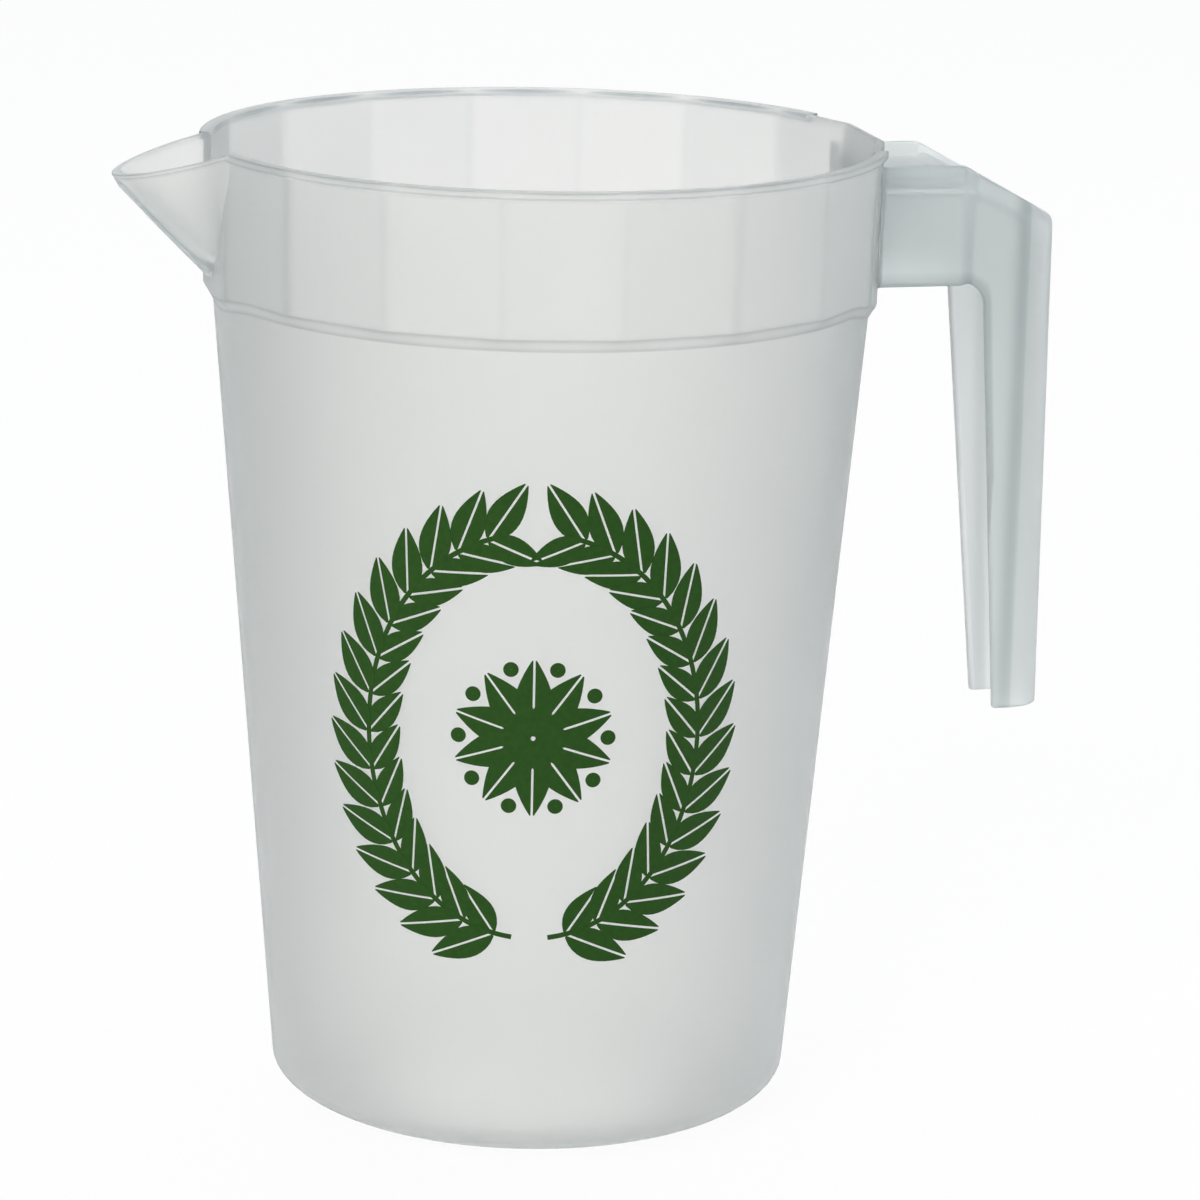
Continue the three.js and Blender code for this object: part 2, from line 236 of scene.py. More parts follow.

# %% [markdown]
# ## The collar's foot and corner lines
# The collar's foot isn't level: it hangs lower under the spout, and falls further beside the
# handle. A flat cut would miss that, so the drop is a curve over the angle. The panels' corners
# get faint lines of painted shade, where the real wall bends the light.

# %% The collar's foot and corner lines
spout_drop, spout_drop_degrees = 2, 20
handle_drop_degrees, handle_drops = (144, 150, 166), (0, 1.2, 4.4)
# Strength and width of the painted shade lines at the panels' corners.
corner_line, corner_line_degrees = 0.07, 0.8


def foot_drop(angle):
    """How much lower the collar's foot hangs under the spout and beside the handle."""
    from_spout = np.degrees(np.abs((angle + math.pi) % (2 * math.pi) - math.pi))
    turn = math.pi * np.clip(from_spout / spout_drop_degrees, 0, 1)
    under_spout = 0.5 * spout_drop * (1 + np.cos(turn))
    return under_spout + np.interp(from_spout, handle_drop_degrees, handle_drops)


def corner_shade(angle):
    """Painted shade along the collar's corners, fading within a millimetre or two."""
    from_corner = np.degrees(panel_half_angle - from_panel_middle(angle))
    return corner_line * np.exp(-(from_corner / corner_line_degrees) ** 2)


print("drop under the spout and beside the handle:", foot_drop(np.radians([0, 160])).round(2))

# %% [markdown]
# ## The wall's section
# A lathe would turn the body, but the collar is flat-sided, so a plain Screw modifier isn't
# enough. Instead one section runs from the middle of the base up the outside, over the rim and
# down the inside to the middle of the floor, and it is drawn anew at every angle. Extra points
# close to an edge keep the shading of the flat stretches beside it flat.

# %% The wall's section
base_corner_reach, base_corner_height = 20, 9
bead_rounding = 0.35
rim_rounding, neck_rounding, lens_rounding = 0.3, 0.3, 0.2
step_edge, step_foot_edge = 0.35, 0.2
support = 0.5
lens_height = 0.6
# How strong the painted shade is on each edge line and slope of the wall; the lens is the painted
# shade on the rim's inner slope, strongest mid-panel.
step_line, step_slope_shade, collar_line, inner_line = 0.5, 0.08, 0.45, 0.1
neck_line, neck_shade, bead_low_line, bead_top_line = 0.1, 0.2, 0.55, 0.4
rim_line, lens_shade, lens_line = 0.1, 0.8, 0.6


def wall_section(angle, beaded):
    """Section (radius, height, painted shade) of the wall at these angles, with or without the
    bead.
    """
    flat = np.zeros_like(angle)

    def at(radius, height):
        return np.stack([flat + radius, flat + height], axis=-1)

    inset = wall / math.cos(body_lean)
    out_foot = panel_radius(angle, collar_foot_radius)
    out_top = panel_radius(angle, collar_top_radius)
    in_foot = panel_radius(angle, collar_foot_radius - wall)
    in_top = panel_radius(angle, collar_top_radius - wall)
    bead_out = rim_radius if beaded else out_top
    bead_low = rim_seat if beaded else (rim_seat + bare_wall_top) / 2
    bead_low_rounding = bead_rounding if beaded else 0
    top = rim_top if beaded else bare_wall_top
    top_in = collar_top_radius - wall if beaded else in_top
    lens = np.clip(top_in - in_top, 0, 1)
    drop = foot_drop(angle)
    foot, step = collar_foot - drop, step_foot - drop
    step_radius = body_top_radius - drop * math.tan(body_lean)
    below = support * math.tan(body_lean)
    band = corner_shade(angle)
    floor_foot = body_foot_radius - inset + floor_top * math.tan(body_lean)
    base_corner = (base_corner_reach, base_corner_height / math.cos(body_lean))
    floor_corner_height = (base_corner_height - floor_top) / math.cos(body_lean)
    floor_corner = (floor_corner_height, base_corner_reach - wall)
    lens_foot = top - lens_height
    # Every corner carries its painted shade: lines at the step, the collar's foot, the neck and the
    # bead, the corner bands and the lens under the rim.
    return section_rows([
        Corner(at(0, 0), spans=4),
        Corner(at(body_foot_radius, 0), base_corner, 16, 26),
        Corner(at(step_radius - below, step - support), spans=2),
        Corner(at(step_radius, step), step_foot_edge, 4, 3, step_line, step_slope_shade),
        Corner(at(out_foot, foot), step_edge, 4, 2, collar_line),
        Corner(at(out_foot, foot + support), spans=45, shade=band, onward=band),
        Corner(at(out_top, rim_seat), neck_rounding, 3, 2, neck_line, neck_shade),
        Corner(at(bead_out, bead_low), bead_low_rounding, 5, 4, bead_low_line),
        Corner(at(bead_out, top), bead_rounding, 5, 2, bead_top_line),
        Corner(at(bead_out - support, top), spans=2),
        Corner(at(top_in, top), rim_rounding, 4, 2, rim_line * lens, lens_shade * lens),
        Corner(at(in_top, lens_foot), lens_rounding, 3, 2, lens_line * lens),
        Corner(at(in_top, lens_foot - support), spans=45, shade=band, onward=band),
        Corner(at(in_foot, foot), step_foot_edge, 4, 2, inner_line),
        Corner(at(step_radius - inset, step), step_edge, 4, 2, inner_line),
        Corner(at(step_radius - inset - below, step - support), spans=18),
        Corner(at(floor_foot, floor_top), floor_corner, 14, 4),
        Corner(at(0, floor_top)),
    ])


test_section = wall_section(np.array([0.0, panel_half_angle]), True)
print("section rows:", len(test_section), "widest radius", test_section[..., 0].max())

# %% [markdown]
# ## Columns round the body
# Body, collar, rim and spout are one skin. Separate meshes would show seams through the clear
# wall, so the skin is one grid: every column has the same number of rows, and neighbours are joined
# with quads. Columns crowd where the surface turns: at the collar's corners and at the two ends of
# the rim's bead, which stops over the handle.

# %% Columns round the body
bead_gap_half_angle = math.radians(21.3)
bead_end_degrees = np.array([-0.9, -0.4, -0.1, 0.1, 0.4, 0.9])
spout_side_angle = 2 * panel_half_angle
half_panel_degrees = np.array([2.5, 5, 7, 8.4, 9.1, 9.6])
panel_degrees = np.array([-10, *-half_panel_degrees[::-1], 0, *half_panel_degrees])

spout_side_degrees = math.degrees(spout_side_angle)
panel_middles = np.arange(2, panel_count - 1) * spout_side_degrees
open_degrees = (panel_middles[:, None] + panel_degrees).ravel()
first_half_panel = spout_side_degrees + half_panel_degrees
last_half_panel = 360 - spout_side_degrees + panel_degrees[panel_degrees <= 0]
gap_edges = np.concatenate([
    math.pi + hand * (bead_gap_half_angle + np.radians(bead_end_degrees)) for hand in (-1, 1)
])
ordinary = np.unique(np.round(np.concatenate([
    [spout_side_angle],
    np.radians(np.concatenate([first_half_panel, open_degrees, last_half_panel])),
    gap_edges,
]), 6))


def columns_round(angle, beaded):
    """Points (rows, columns, xyz and shade) of the wall at these angles from the spout."""
    radius, height, shade = np.moveaxis(wall_section(angle, beaded), -1, 0)
    return np.stack([-radius * np.cos(angle), -radius * np.sin(angle), height, shade], axis=-1)


over_handle = (np.abs(ordinary - math.pi) < bead_gap_half_angle)[None, :, None]
ring = np.where(over_handle, columns_round(ordinary, False), columns_round(ordinary, True))
print("ordinary columns:", ring.shape[1], "rows:", ring.shape[0])

# %% [markdown]
# ## The spout
# The spout is a hollow cone pulled out of the collar: its lip runs out almost straight, rounds in
# at the tip and slopes down, and its keel is a straight line with a small ridge. It could be a
# separate cone cut and joined with a Boolean, but then a seam would show through the clear wall.
# So the columns of the wall's own mesh are led out along the spout, inside and outside.

# %% The spout's lip and keel
spout_wall = 1.7
lip_half_width = 14.3
lip_side_length = 11
lip_side_flare = 0.8
lip_nose_pull = 7
lip_tip_drop = 5.6
keel_foot_height = 170.6
attach_roundness = 1.9
spout_tip = -86.1
spout_root = -collar_foot_radius * math.cos(panel_half_angle)
keel_slope = math.atan2(rim_top - lip_tip_drop - keel_foot_height, spout_root - spout_tip)


def lip_height(x):
    """Height of the lip, which falls evenly from the collar to the tip."""
    return bare_wall_top - lip_tip_drop * (spout_root - x) / (spout_root - spout_tip)


def lip_curve(inset, share):
    """Reach and width of one side of the lip in plan; share is 0 at the root and 1 at the tip."""
    half = lip_half_width - inset
    tip = spout_tip + inset
    reach = [spout_root, spout_root - lip_side_length, tip, tip]
    width = [half, half + lip_side_flare, lip_nose_pull, 0]
    rest = 1 - share
    weights = [rest**3, 3 * share * rest**2, 3 * share**2 * rest, share**3]
    return [sum(w * place for w, place in zip(weights, places)) for places in (reach, width)]


def attach_width(rise, inset):
    """Half width where the spout leaves the collar; rise is 0 at the keel's foot, 1 at the rim."""
    return (lip_half_width - inset) * (1 - (1 - rise) ** attach_roundness)


def keel_foot(inset):
    """Height at which the spout's outside, or its inside one wall further in, leaves the collar."""
    return keel_foot_height + inset / math.cos(keel_slope)


def spout_rise(height, inset):
    """0 at and below the foot of the keel, 1 at the rim."""
    return np.clip((height - keel_foot(inset)) / (bare_wall_top - keel_foot(inset)), 0, 1)


print("keel slope in degrees:", round(math.degrees(keel_slope), 1))

# %% [markdown]
# ## Where the spout leaves the collar
# The spout's outside and inside leave the wall at different widths. Both are looked up in the
# wall's own shape, which is tabled finely beside the spout, once with the bead and once without.

# %% Where the spout leaves the collar
side_table = np.linspace(0, spout_side_angle, 801)
bare_table = wall_section(side_table, False)
bead_table = wall_section(side_table, True)
mid_radius, mid_height = bare_table[:, 0, 0], bare_table[:, 0, 1]


def outside_share():
    """1 for rows on the outside of the wall, 0 inside, and between the two over its top edge."""
    inner = (collar_corner(mid_height) - wall) * math.cos(panel_half_angle)
    share = np.clip((mid_radius - inner) / (wall * math.cos(panel_half_angle)), 0, 1)
    below = mid_height < collar_foot
    share[below] = np.arange(len(share))[below] < len(share) / 2
    return share


def attach_angle(inset, wall_inset):
    """Angle from the spout's middle at which the spout leaves the collar, for each row."""
    half_width = attach_width(spout_rise(mid_height, inset), inset)
    corners = collar_corner(mid_height) - wall_inset
    widths = panel_radius(side_table[None, :], corners[:, None]) * np.sin(side_table)
    return np.array([np.interp(h, w, side_table) for h, w in zip(half_width, widths)])


def on_table(table, angles):
    """Points (rows, columns, xyz and shade) of the tabled wall, on the side near the camera."""
    radius, height, shade = [
        np.array([np.interp(a, side_table, row) for a, row in zip(angles, table[..., i])])
        for i in range(3)
    ]
    return np.stack([-radius * np.cos(angles), -radius * np.sin(angles), height, shade], axis=-1)


share = outside_share()
outer_angle, inner_angle = attach_angle(0, 0), attach_angle(spout_wall, wall)
print("widest attachment in degrees:", np.degrees(outer_angle.max()).round(2))

# %% [markdown]
# ## Columns along the spout
# The spout's columns run from the collar to the keel and crowd there, because a ridge like half a
# rod lies along the keel. A bevelled curve would make that ridge, but as a part of the skin it
# leaves no seam.

# %% Columns along the spout
keel_ridge_width = 1.8
keel_ridge_height = 0.8
keel_ridge_start = 0.03
keel_ridge_end = 0.1
spout_columns, keel_crowding = 34, 2.2
side_columns, side_crowding = 40, 1.35
bead_end_columns = 2


def keel_ridge(y, rise):
    """How far the ridge stands proud of the spout at a distance from its middle plane."""
    across = np.sqrt(np.clip(1 - (2 * y / keel_ridge_width) ** 2, 0, 1))
    ends = np.minimum(rise / keel_ridge_start, (1 - rise) / keel_ridge_end)
    return keel_ridge_height * across * np.clip(ends, 0, 1)


def spout_surface(attach, along, inset, wall_inset):
    """Points (rows, columns, xyz) of the spout's outside, or of its inside one wall further in."""
    rise = spout_rise(mid_height, inset)
    radius = panel_radius(attach, collar_corner(mid_height) - wall_inset)
    root = np.where(rise > 0, -radius * np.cos(attach), -mid_radius)[:, None]
    rise = rise[:, None]
    lip_x, lip_y = lip_curve(inset, along)
    root_x, root_y = lip_curve(inset, 0)
    tip_x = spout_tip + inset
    x = root + (lip_x - root_x) / (tip_x - root_x) * rise * (tip_x - root)
    y = attach_width(rise, inset) * lip_y / root_y
    foot = keel_foot(inset)
    z = np.where(rise > 0, foot + rise * (lip_height(lip_x) - foot), mid_height[:, None])
    if inset == 0:
        proud = keel_ridge(y, rise)
        x = x - proud * math.sin(keel_slope)
        z = z - proud * math.cos(keel_slope)
    return np.stack([x, -y, z], axis=-1)


along_lip = 1 - np.linspace(0, 1, spout_columns + 1)[:-1] ** keel_crowding
spout_out = spout_surface(outer_angle, along_lip, 0, 0)
spout_in = spout_surface(inner_angle, along_lip, spout_wall, wall)
near_spout = share[:, None, None] * spout_out + (1 - share)[:, None, None] * spout_in
# The painted shade of the wall's top edges runs on along the spout's lip.
lip_shade = np.where(mid_height > rim_seat, bare_table[:, 0, 2], 0)
lip_shade = np.broadcast_to(lip_shade[:, None, None], (*near_spout.shape[:2], 1))
near_spout = np.concatenate([near_spout, lip_shade], axis=-1)

root_angle = (share * outer_angle + (1 - share) * inner_angle)[:, None]
along_side = np.linspace(0, 1, side_columns + 1)[:-1] ** side_crowding
side_angles = root_angle + along_side * (spout_side_angle - root_angle)
has_bead = (np.arange(side_columns) >= bead_end_columns)[None, :, None]
near_side = np.where(
    has_bead, on_table(bead_table, side_angles), on_table(bare_table, side_angles))
print("spout columns:", spout_columns, "reach", near_spout[..., 0].min().round(2))

# %% [markdown]
# ## One skin for body, collar, rim and spout
# The pitcher is the same on both sides, so half the spout and the stretch beside it are mirrored
# and all columns are laid side by side. Where the spout leaves the collar the real one has a small
# fillet: two passes of averaging soften the crease.

# %% Join the columns
mirror = np.array([1, -1, 1, 1])
crease_reach, crease_passes = 1, 2
wall_grid = np.concatenate([
    near_spout,
    near_side,
    ring,
    (near_side * mirror)[:, ::-1],
    (near_spout * mirror)[:, :0:-1],
], axis=1)


def soften_columns(grid, column, reach, passes):
    """Rounds the crease at one column by drawing each point near it towards its neighbours."""
    near = np.arange(column - reach, column + reach + 1)
    for _ in range(passes):
        grid[:, near] = 0.5 * grid[:, near] + 0.25 * (grid[:, near - 1] + grid[:, near + 1])


for root_column in (spout_columns, wall_grid.shape[1] - spout_columns):
    soften_columns(wall_grid, root_column, crease_reach, crease_passes)
print("grid of the wall, rows and columns:", wall_grid.shape[:2])

# %% [markdown]
# ## From a grid to a mesh
# Both large pieces are grids of points whose rows close on themselves, so one function turns either
# into a mesh with bmesh. It merges columns that meet, points the normals outwards and counts the
# edges that don't have two faces, because light in clear plastic needs a closed skin.

# %% Grid to mesh
weld = 0.002


def closed_grid(name, points, end_strips=()):
    """A smooth object from a grid of points in mm and shades; strips are quads of grid numbers."""
    rows, columns = points.shape[:2]
    number = np.arange(rows * columns).reshape(rows, columns)
    beside = np.roll(number, -1, axis=1)
    quads = np.stack([number[:-1], beside[:-1], beside[1:], number[1:]], axis=-1).reshape(-1, 4)
    mesh = bmesh.new()
    shade_layer = mesh.verts.layers.float.new("shade")
    corners = [mesh.verts.new(point[:3] * MM) for point in points.reshape(-1, 4)]
    for corner, shade in zip(corners, points[..., 3].ravel()):
        corner[shade_layer] = shade
    for quad in [*quads.tolist(), *end_strips]:
        mesh.faces.new([corners[i] for i in quad])
    bmesh.ops.remove_doubles(mesh, verts=mesh.verts, dist=weld * MM)
    bmesh.ops.dissolve_degenerate(mesh, edges=mesh.edges, dist=weld * MM)
    bmesh.ops.recalc_face_normals(mesh, faces=mesh.faces)
    open_edges = sum(not edge.is_manifold for edge in mesh.edges)
    data = bpy.data.meshes.new(name)
    mesh.to_mesh(data)
    mesh.free()
    data.shade_smooth()
    piece = bpy.data.objects.new(name, data)
    scene.collection.objects.link(piece)
    print(name, "faces:", len(data.polygons), "open edges:", open_edges)
    return piece


pitcher_wall = closed_grid("pitcher_wall", wall_grid)

# %% [markdown]
# ## The handle
# The handle is a channel: a web with a wall along each side, open towards the hand. A Curve with a
# bevel profile would sweep one section along a path, but this channel gets narrower, shallower and
# rounder on its way, and its web sinks below the walls on the bridge. So each station along the
# handle gets its own section, and planes fan out round the finger corner where the handle turns.

# %% The handle's outline
underside_drop = 0.6
bridge_top = high("handle_bridge", "z")
underside = low("handle_bridge", "z") - underside_drop
grip_foot = low("handle_grip", "z")
back_foot = high("handle_grip", "x")

outline_start = 60
crease_x, slope_drop = 82, 11.9
head_rounding, back_rounding = 4.6, 5.8
head_steps, back_steps, outline_steps = 12, 16, 4000
back_lean = 2.6
finger_rounding = 5
inner_edge_foot, inner_edge_lean = 94.8, 0.0765
slope_foot = bridge_top - slope_drop


def inner_edge(z):
    """Where the grip's walls end, on the side of the fingers, at a height."""
    return inner_edge_foot - inner_edge_lean * (z - grip_foot)


def back_edge(z):
    """Where the grip's back is at a height."""
    return back_foot - back_lean * (z - grip_foot) / (slope_foot - grip_foot)


pivot_z = underside - finger_rounding
pivot_x = inner_edge(pivot_z) - finger_rounding
outline_corners = np.array([
    (outline_start, bridge_top),
    (crease_x, bridge_top),
    (back_edge(slope_foot), slope_foot),
    (back_foot, grip_foot),
])
outline = np.array([
    outline_corners[0],
    *rounded_corner(*outline_corners[0:3], head_rounding, head_steps),
    *rounded_corner(*outline_corners[1:4], back_rounding, back_steps),
    outline_corners[3],
])
numbers = np.arange(len(outline))
fine = np.linspace(0, len(outline) - 1, outline_steps)
outline = np.stack([np.interp(fine, numbers, outline[:, i]) for i in (0, 1)], axis=-1)


def outline_height(x):
    """Height of the handle's upper outline over the bridge."""
    upper = outline[:, 1] > slope_foot
    return np.interp(x, outline[upper, 0], outline[upper, 1])


print("finger corner centre:", round(pivot_x, 2), round(pivot_z, 2))

# %% [markdown]
# ## The handle's width
# The bridge narrows to the grip within a few millimetres behind the crease. The grip tapers
# downwards, and its two upright back edges are rounded for the palm. A Bevel modifier would round
# the slope on top as well, which is crisp on the real one, so the rounding is part of the width.

# %% The handle's width
bridge_half_width = 16.5
grip_half_width_top, grip_half_width_foot = 14.3, 8.5
crease_length = 3.4
back_radius_foot, back_radius_top = 8.2, 6.8


def straight_half_width(x, z):
    """Half the width of the handle: the bridge narrows to the grip just behind the crease."""
    grip = np.interp(z, [grip_foot, bridge_top], [grip_half_width_foot, grip_half_width_top])
    on_bridge = np.interp(x, [crease_x, crease_x + crease_length], [1, 0])
    return grip + (bridge_half_width - grip) * on_bridge


def back_radius(z):
    """Rounding of the grip's upright back edges at a height."""
    return np.interp(z, [grip_foot, slope_foot], [back_radius_foot, back_radius_top])


def handle_half_width(x, z):
    """Half the width of the handle, with the grip's two upright back edges rounded."""
    radius = back_radius(z)
    to_middle = 1 - np.clip((back_edge(z) - x) / radius, 0, 1)
    return straight_half_width(x, z) - radius * (1 - np.sqrt(1 - to_middle**2))


widths_at_foot = [handle_half_width(back_foot - inside, grip_foot) for inside in (0, 10)]
print("half widths of the grip's foot, at its back and inside:", np.round(widths_at_foot, 2))

# %% [markdown]
# ## Stations along the handle
# A station is a line across the channel's depth. The stations stand upright over the bridge, fan
# out round the finger corner and lie level down the grip. They crowd at the root, for its fillet,
# and at the foot, for its rounded end.

# %% Stations along the handle
root_gap = 0.02
root_steps = np.array([0, 0.06, 0.14, 0.26, 0.42, 0.65, 1, 1.8])
bridge_start, crease_lead_in, crease_start = 3, 2, 1.6
fan_steps = 61
foot_rounding = 0.6
foot_inset = np.array([0.08, 0.25, 0.6])
foot_depth = np.array([0.35, 0.52, 0.6])

root_x = collar_top_radius * math.cos(panel_half_angle) + root_gap
bridge_x = np.concatenate([
    root_x + root_steps,
    np.linspace(root_x + bridge_start, crease_x - crease_lead_in, 8),
    np.linspace(crease_x - crease_start, pivot_x, 9),
])
fan = np.radians(np.linspace(90, 0, fan_steps)[1:])
grip_z = np.linspace(pivot_z, grip_foot + foot_rounding, 20)[1:]
lower_z = np.concatenate([grip_z, grip_foot + foot_rounding - foot_depth])

outline_turn = np.arctan2(outline[:, 1] - pivot_z, outline[:, 0] - pivot_x)[::-1]
fan_x = np.interp(fan, outline_turn, outline[::-1, 0])
fan_z = np.interp(fan, outline_turn, outline[::-1, 1])

outer_x = np.concatenate([bridge_x, fan_x, back_edge(lower_z)])
outer_z = np.concatenate([outline_height(bridge_x), fan_z, lower_z])
inner_x = np.concatenate([
    bridge_x, pivot_x + finger_rounding * np.cos(fan), inner_edge(lower_z),
])
inner_z = np.concatenate([
    np.full_like(bridge_x, underside), pivot_z + finger_rounding * np.sin(fan), lower_z,
])
inset = np.concatenate([np.zeros(len(outer_x) - len(foot_inset)), foot_inset])
print("stations:", len(outer_x))

# %% [markdown]
# ## Sections of the handle
# Half a section runs from the middle of the web over the tray's edge, down the wall's outside,
# round its lip and back up the inside to the web. The tray gets shallower behind the crease and
# ends on the back. The wall's lip gets a line of painted shade outside and one of painted light
# inside.

# %% Sections of the handle
handle_wall = 2
web = 2
tray_depths = np.array([(81, 2.8), (82.6, 1.7), (88, 0.9), (101, 0)])
tray_end_x, tray_end_wall = 101, 5.8
tray_slope = 0.4
tray_rounding, lip_rounding, least_rounding = 0.6, 0.9, 0.05
web_fillet = 2.5
upper_support, lower_support = 1.5, 9.5
# Painted shade on the lip's outer edge and painted light on its inner edge.
lip_painted_shade, lip_painted_light = 0.5, -1

width = straight_half_width(outer_x, outer_z)
depth = np.hypot(outer_x - inner_x, outer_z - inner_z)
sunk = np.interp(outer_x, tray_depths[:, 0], tray_depths[:, 1])
side = width - inset
near_web = side - np.interp(outer_x, [crease_x, tray_end_x], [handle_wall, tray_end_wall])
tray_foot = near_web - np.minimum(tray_slope, near_web / 2)
hollow = side - handle_wall + 2 * inset
tray_edge = np.maximum(tray_rounding - inset, least_rounding)[:, None]
lip_edge = np.maximum(lip_rounding - inset, least_rounding)[:, None]


def at(y, down):
    """A corner at a distance from the middle plane and a depth below the outline."""
    return np.stack([y + np.zeros_like(width), down + np.zeros_like(width)], axis=-1)


half_sections = section_rows([
    Corner(at(0, sunk + inset), spans=4),
    Corner(at(tray_foot, sunk + inset), tray_edge, 3),
    Corner(at(near_web, inset), tray_edge, 3),
    Corner(at(side, inset), tray_edge, 6, 3),
    Corner(at(side, upper_support), spans=10),
    Corner(at(side, lower_support), spans=6),
    Corner(at(side, depth - inset), lip_edge, 4, 1, lip_painted_shade),
    Corner(at(hollow, depth - inset), lip_edge, 4, 26, lip_painted_light),
    Corner(at(hollow, sunk + web - inset), (web_fillet, web_fillet), 7, 4),
    Corner(at(0, sunk + web - inset)),
]).swapaxes(0, 1)
print("points in half a section:", half_sections.shape[1])

# %% [markdown]
# ## Lay the sections along the handle
# Each section is turned into its station's plane, and its width follows the rounded back. A soft
# cool band of painted shade lies where the side bends away, and painted light behind it. At the
# root the handle follows the collar's panels and taper and widens in a small fillet.

# %% Lay the sections along the handle
# The painted shade band on the grip's rounded back, and the painted light behind it.
back_line, back_line_place, back_line_width = 0.55, 1.12, 0.25
back_light_full, back_light_end, back_shade_end = 0.75, 0.95, 1.7
outer_skin, flare_skin = 0.5, 0.7
root_fillet = 1

across, down, handle_shade = np.moveaxis(half_sections, -1, 0)
into_x = ((inner_x - outer_x) / depth)[:, None]
into_z = ((inner_z - outer_z) / depth)[:, None]
handle_x = outer_x[:, None] + down * into_x
handle_z = outer_z[:, None] + down * into_z
handle_y = across * handle_half_width(handle_x, handle_z) / width[:, None]

from_back = (back_edge(handle_z) - handle_x) / back_radius(handle_z)
painted_shade_band = back_line * np.exp(-((from_back - back_line_place) / back_line_width) ** 2)
painted_light_on_back = np.interp(from_back, [back_light_full, back_light_end], [1, 0])
on_back = (across > hollow[:, None] + outer_skin) & (from_back < back_shade_end)
handle_shade = np.where(on_back, painted_shade_band - painted_light_on_back, handle_shade)

root_table = np.linspace(0, 2 * panel_half_angle, 400)
root_radius = panel_radius(root_table, collar_top_radius)
panel_y, panel_x = root_radius * np.sin(root_table), root_radius * np.cos(root_table)
root_dip = np.interp(handle_y, panel_y, panel_x) - panel_x[0]
root_taper = collar_corner(handle_z) - collar_top_radius
to_crease = np.clip((pivot_x - outer_x) / (pivot_x - root_x), 0, 1)[:, None]
handle_x = handle_x + (root_dip + root_taper) * to_crease

from_root = np.clip((outer_x - root_x + root_gap) / root_fillet, 0, 1)[:, None]
flare = root_fillet * (1 - np.sqrt(1 - (1 - from_root) ** 2))
handle_y = handle_y + flare * (across > width[:, None] - flare_skin)

half = np.stack([handle_x, -handle_y, handle_z, handle_shade], axis=-1)
handle_grid = np.concatenate([half, (half * mirror)[:, -2:0:-1]], axis=1)
print("grid of the handle, stations and points around:", handle_grid.shape[:2])

# %% [markdown]
# ## Close the handle's ends
# A grid is open at its first and last station. One large face would close each end, but the
# section is bent like a U, so strips of quads join each outer point with the inner point that
# faces it across the wall.

# %% Close the handle's ends
stations, around = handle_grid.shape[:2]
points_in_half = half.shape[1]
end_strips = []
for first in (0, (stations - 1) * around):
    for i in range(points_in_half // 2 - 1):
        facing = points_in_half - 1 - i
        near = (i, i + 1, facing - 1, facing)
        far = [(around - k) % around for k in near]
        end_strips += [[first + k for k in near], [first + k for k in far]]
pitcher_handle = closed_grid("pitcher_handle", handle_grid, end_strips)

# %% [markdown]
# ## The green print
# A one-colour screen print stands on the front of the body. It could be painted in the material,
# but ink has an edge and a thickness that catch the light, so it is a thin film of small patches,
# laid out flat in millimetres and then wrapped on the cone of the body.

# %% Wrap flat patches on the body
print_facing = math.radians(76.4)
print_height = 90
film_lift = 0.06
film_thickness = 0.05


def on_body(right, up):
    """Point on the body's outside for a place in the flat print, in mm from its middle."""
    z = print_height + up
    radius = body_foot_radius + z * math.tan(body_lean) + film_lift
    angle = print_facing + right / radius
    return Vector((-radius * np.cos(angle), -radius * np.sin(angle), z)) * MM


def patch(mesh, right, up):
    """Adds a grid of quads to the film; both grids hold flat places in millimetres."""
    rows, columns = right.shape
    made = [
        [mesh.verts.new(on_body(right[r, c], up[r, c])) for c in range(columns)]
        for r in range(rows)
    ]
    for r in range(rows - 1):
        for c in range(columns - 1):
            mesh.faces.new((made[r][c], made[r][c + 1], made[r + 1][c + 1], made[r + 1][c]))


print("print centre in mm:", [round(v / MM, 1) for v in on_body(0, 0)])

# %% [markdown]
# ## Leaves, branches and dots
# The design is a plain wreath of leaves with a flower in it. Filled curves would do on a flat
# sheet, but they wrap badly round a cone, so three small shapes are drawn as grids of quads: a
# leaf in two halves with a bare rib between them, a line and a dot.

# %% Leaves, branches and dots
rib_half_width = 0.22
leaf_fullness, leaf_nose = 0.9, 0.8
shape_start = 0.02


def leaf(mesh, right, up, turn, length, breadth):
    """A pointed leaf in two halves, with a bare rib between them; turn is in degrees from level."""
    turn = math.radians(turn)
    along = np.linspace(shape_start, 1 - shape_start, 12)[:, None]
    outline_half = 0.5 * breadth * np.sin(math.pi * along**leaf_nose) ** leaf_fullness
    for hand in (-1, 1):
        aside = hand * (rib_half_width + np.linspace(0, 1, 4)[None, :] * outline_half)
        ahead = length * along + 0 * aside
        patch(mesh, right + ahead * math.cos(turn) - aside * math.sin(turn),
              up + ahead * math.sin(turn) + aside * math.cos(turn))


def ribbon(mesh, right, up, breadth):
    """A line of even breadth through a row of flat places."""
    run_right, run_up = np.gradient(right), np.gradient(up)
    run = np.hypot(run_right, run_up)
    aside = np.array([-0.5, 0, 0.5]) * breadth
    patch(mesh, right[:, None] - aside * (run_up / run)[:, None],
          up[:, None] + aside * (run_right / run)[:, None])


def dot(mesh, right, up, radius):
    """A round dot, as rings from near its middle outwards."""
    turn = np.linspace(0, 2 * math.pi, 21)[None, :]
    ring_radius = radius * np.linspace(shape_start, 1, 4)[:, None]
    patch(mesh, right + ring_radius * np.cos(turn), up + ring_radius * np.sin(turn))


print("bare rib in mm:", 2 * rib_half_width)

